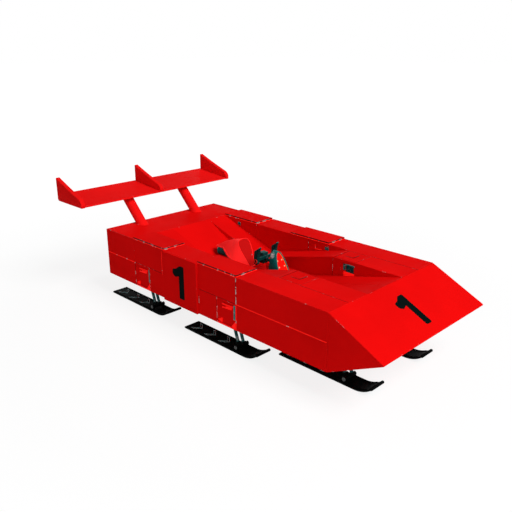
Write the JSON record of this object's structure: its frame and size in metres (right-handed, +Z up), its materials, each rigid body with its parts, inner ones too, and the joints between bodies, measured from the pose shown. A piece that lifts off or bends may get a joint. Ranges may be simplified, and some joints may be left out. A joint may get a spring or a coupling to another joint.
{
  "type": "racing sled",
  "caption": "Single-seat racing sled: a low panelled wedge hull with an open cockpit, steered and sprung skis on raked legs, and a finned rear wing.",
  "frame": {"origin": "on the snow, under the middle of the sled's length between the wing's tail and the nose's tip", "axes": "+X forward to the nose, +Y to the driver's left, +Z up"},
  "size_m": [3.985, 2.03, 1.2625],
  "materials": {
    "hull_red": "gloss painted composite",
    "panel_red": "gloss painted composite panel",
    "teal_metal": "dark teal anodised",
    "ski_black": "satin black runner plastic",
    "steel": "ground steel",
    "grip_black": "moulded rubber"
  },
  "bodies": {
    "hull": {"lower_hull": "hull_red", "rear_deck": "hull_red", "nose_cone": "hull_red", "cockpit_tray": "hull_red", "engine_fairing": "hull_red", "wing_plane": "hull_red", "wing_fin_left": "hull_red", "wing_fin_centre": "hull_red", "wing_fin_right": "hull_red", "side_pod_left": "hull_red", "front_deck_left": "hull_red", "valley_panel_left": "hull_red", "wing_strut_left": "hull_red", "number_panel_left": "panel_red", "deck_plate_rear_left": "panel_red", "deck_plate_front_left": "panel_red", "gear_case_left": "teal_metal", "cassette_rear_left": "teal_metal", "cassette_middle_left": "teal_metal", "side_pod_right": "hull_red", "front_deck_right": "hull_red", "valley_panel_right": "hull_red", "wing_strut_right": "hull_red", "number_panel_right": "panel_red", "deck_plate_rear_right": "panel_red", "deck_plate_front_right": "panel_red", "gear_case_right": "teal_metal", "cassette_rear_right": "teal_metal", "cassette_middle_right": "teal_metal", "screen_panel": "panel_red", "seat_shell": "hull_red", "exhaust_nozzle": "teal_metal", "screen_hoop": "teal_metal"},
    "yoke": {"yoke_hub": "teal_metal", "yoke_grip_left": "grip_black", "yoke_grip_right": "grip_black"},
    "lid_left": {"hatch_left": "panel_red"},
    "kingpin_left": {"steer_drum_left": "teal_metal"},
    "fork_rear_left": {"leg_rear_left": "steel", "pin_rear_left": "steel"},
    "runner_rear_left": {"ski_rear_left": "ski_black"},
    "fork_middle_left": {"leg_middle_left": "steel", "pin_middle_left": "steel"},
    "runner_middle_left": {"ski_middle_left": "ski_black"},
    "fork_front_left": {"leg_front_left": "steel", "pin_front_left": "steel"},
    "runner_front_left": {"ski_front_left": "ski_black"},
    "lid_right": {"hatch_right": "panel_red"},
    "kingpin_right": {"steer_drum_right": "teal_metal"},
    "fork_rear_right": {"leg_rear_right": "steel", "pin_rear_right": "steel"},
    "runner_rear_right": {"ski_rear_right": "ski_black"},
    "fork_middle_right": {"leg_middle_right": "steel", "pin_middle_right": "steel"},
    "runner_middle_right": {"ski_middle_right": "ski_black"},
    "fork_front_right": {"leg_front_right": "steel", "pin_front_right": "steel"},
    "runner_front_right": {"ski_front_right": "ski_black"}
  },
  "joints": [
    {"name": "yoke_turn", "type": "hinge", "parent": "hull", "child": "yoke", "pos_m": [0.0925, 0, 0.655], "axis": [0.9397, 0, -0.342], "range_deg": [-48, 48]},
    {"name": "lid_left_hinge", "type": "hinge", "parent": "hull", "child": "lid_left", "pos_m": [0.7605, 0.375, 0.744], "axis": [0, -1, 0], "range_deg": [0, 75]},
    {"name": "kingpin_left_turn", "type": "hinge", "parent": "hull", "child": "kingpin_left", "pos_m": [1.4425, 0.375, 0.042], "axis": [-0.3338, 0, 0.9426], "range_deg": [-12, 12]},
    {"name": "fork_rear_left_slide", "type": "slide", "parent": "hull", "child": "fork_rear_left", "axis": [-0.3338, 0, 0.9426], "range_m": [-0.03, 0.06], "stiffness_N_per_m": 38700, "springref_m": -0.03},
    {"name": "runner_rear_left_pitch", "type": "hinge", "parent": "fork_rear_left", "child": "runner_rear_left", "pos_m": [-0.8275, 0.625, 0.042], "axis": [0, 1, 0], "range_deg": [-12, 12]},
    {"name": "fork_middle_left_slide", "type": "slide", "parent": "hull", "child": "fork_middle_left", "axis": [-0.3338, 0, 0.9426], "range_m": [-0.03, 0.06], "stiffness_N_per_m": 26100, "springref_m": -0.03},
    {"name": "runner_middle_left_pitch", "type": "hinge", "parent": "fork_middle_left", "child": "runner_middle_left", "pos_m": [0.4275, 0.625, 0.042], "axis": [0, 1, 0], "range_deg": [-12, 12]},
    {"name": "fork_front_left_slide", "type": "slide", "parent": "kingpin_left", "child": "fork_front_left", "axis": [-0.3338, 0, 0.9426], "range_m": [-0.03, 0.06], "stiffness_N_per_m": 15900, "springref_m": -0.03},
    {"name": "runner_front_left_pitch", "type": "hinge", "parent": "fork_front_left", "child": "runner_front_left", "pos_m": [1.4425, 0.375, 0.042], "axis": [0, 1, 0], "range_deg": [-12, 12]},
    {"name": "lid_right_hinge", "type": "hinge", "parent": "hull", "child": "lid_right", "pos_m": [0.7605, -0.375, 0.744], "axis": [0, -1, 0], "range_deg": [0, 75]},
    {"name": "kingpin_right_turn", "type": "hinge", "parent": "hull", "child": "kingpin_right", "pos_m": [1.4425, -0.375, 0.042], "axis": [-0.3338, 0, 0.9426], "range_deg": [-12, 12]},
    {"name": "fork_rear_right_slide", "type": "slide", "parent": "hull", "child": "fork_rear_right", "axis": [-0.3338, 0, 0.9426], "range_m": [-0.03, 0.06], "stiffness_N_per_m": 38700, "springref_m": -0.03},
    {"name": "runner_rear_right_pitch", "type": "hinge", "parent": "fork_rear_right", "child": "runner_rear_right", "pos_m": [-0.8275, -0.625, 0.042], "axis": [0, 1, 0], "range_deg": [-12, 12]},
    {"name": "fork_middle_right_slide", "type": "slide", "parent": "hull", "child": "fork_middle_right", "axis": [-0.3338, 0, 0.9426], "range_m": [-0.03, 0.06], "stiffness_N_per_m": 26100, "springref_m": -0.03},
    {"name": "runner_middle_right_pitch", "type": "hinge", "parent": "fork_middle_right", "child": "runner_middle_right", "pos_m": [0.4275, -0.625, 0.042], "axis": [0, 1, 0], "range_deg": [-12, 12]},
    {"name": "fork_front_right_slide", "type": "slide", "parent": "kingpin_right", "child": "fork_front_right", "axis": [-0.3338, 0, 0.9426], "range_m": [-0.03, 0.06], "stiffness_N_per_m": 15900, "springref_m": -0.03},
    {"name": "runner_front_right_pitch", "type": "hinge", "parent": "fork_front_right", "child": "runner_front_right", "pos_m": [1.4425, -0.375, 0.042], "axis": [0, 1, 0], "range_deg": [-12, 12]}
  ],
  "couplings": [
    {"joint": "kingpin_left_turn", "follows": "yoke_turn", "ratio": -0.25},
    {"joint": "kingpin_right_turn", "follows": "yoke_turn", "ratio": -0.25}
  ]
}
